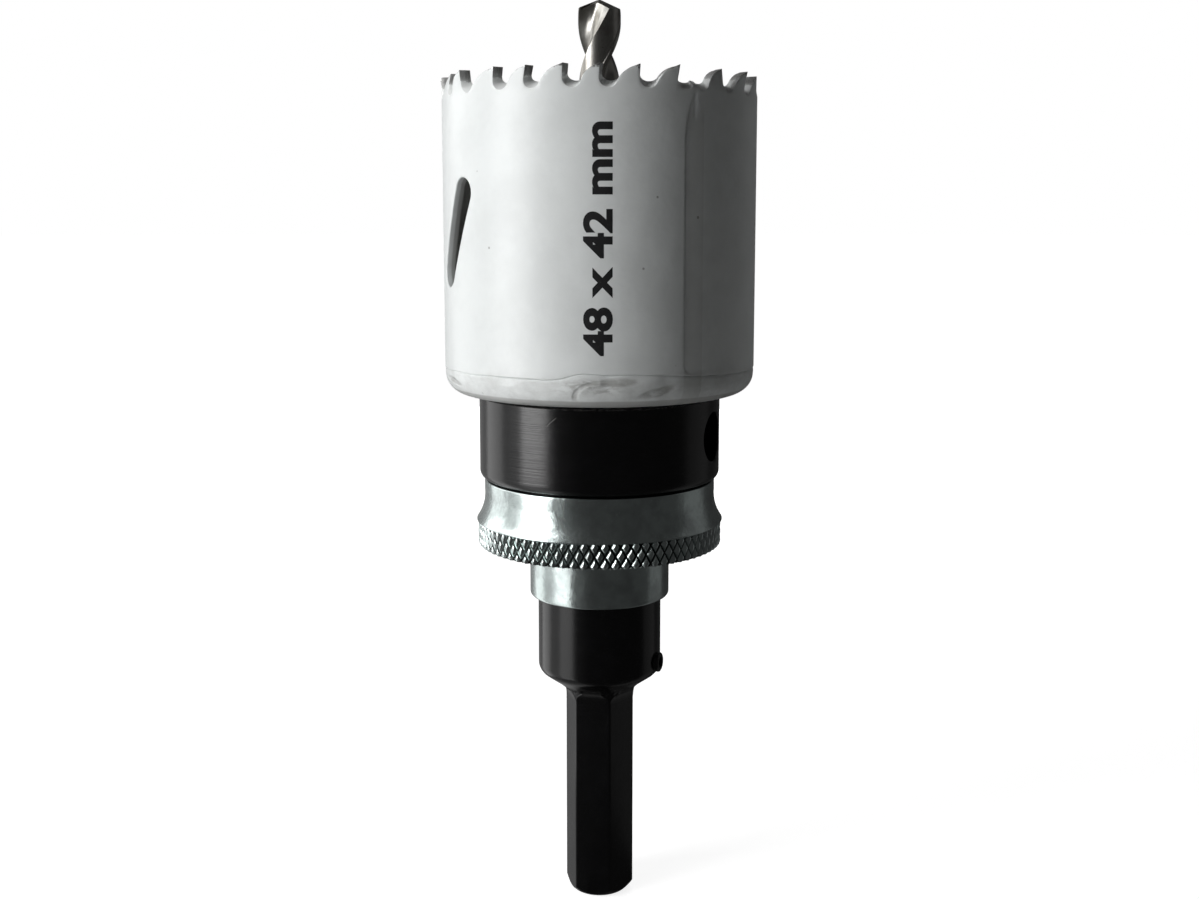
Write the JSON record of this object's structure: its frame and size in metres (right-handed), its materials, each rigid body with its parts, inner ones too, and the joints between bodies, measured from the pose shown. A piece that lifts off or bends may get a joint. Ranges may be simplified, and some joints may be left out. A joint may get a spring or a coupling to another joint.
{
  "type": "hole saw arbor",
  "caption": "Quick-release arbor with a hexagonal shank, sliding drive plate and sleeve, pilot drill and fitted cup-shaped hole saw.",
  "frame": {"origin": "centre of the hexagonal shank's end face", "axes": "+Z along the axis of rotation from the shank's end to the pilot drill's tip; -Y is the front, the side in view, and +X is the viewer's right"},
  "size_m": [0.0476, 0.0474, 0.1384],
  "materials": {
    "white_paint": "satin enamel",
    "bare_steel": "ground",
    "drill_steel": "polished high-speed steel",
    "blackened_steel": "oiled black oxide",
    "zinc_plate": "bright zinc plating"
  },
  "bodies": {
    "arbor": {"arbor_body": "blackened_steel", "pilot_drill": "drill_steel", "pilot_set_screw": "blackened_steel", "saw_end_plate": "white_paint", "saw_shell": "white_paint", "barrel_circlip": "bare_steel", "spring_seat_washer": "zinc_plate", "sleeve_spring": "bare_steel"},
    "collar": {"drive_plate": "blackened_steel", "drive_pin_front": "bare_steel", "drive_pin_rear": "bare_steel", "sleeve_snap_ring": "bare_steel"},
    "sleeve": {"release_sleeve": "zinc_plate"}
  },
  "joints": [
    {"name": "collar_slide", "type": "slide", "parent": "arbor", "child": "collar", "axis": [0, 0, -1], "range_m": [0, 0.007], "stiffness_N_per_m": 2000, "springref_m": -0.005, "deforming": ["sleeve_spring"]},
    {"name": "sleeve_spin", "type": "hinge", "parent": "collar", "child": "sleeve", "pos_m": [0, 0, 0.0617], "axis": [0, 0, 1], "continuous": true}
  ]
}
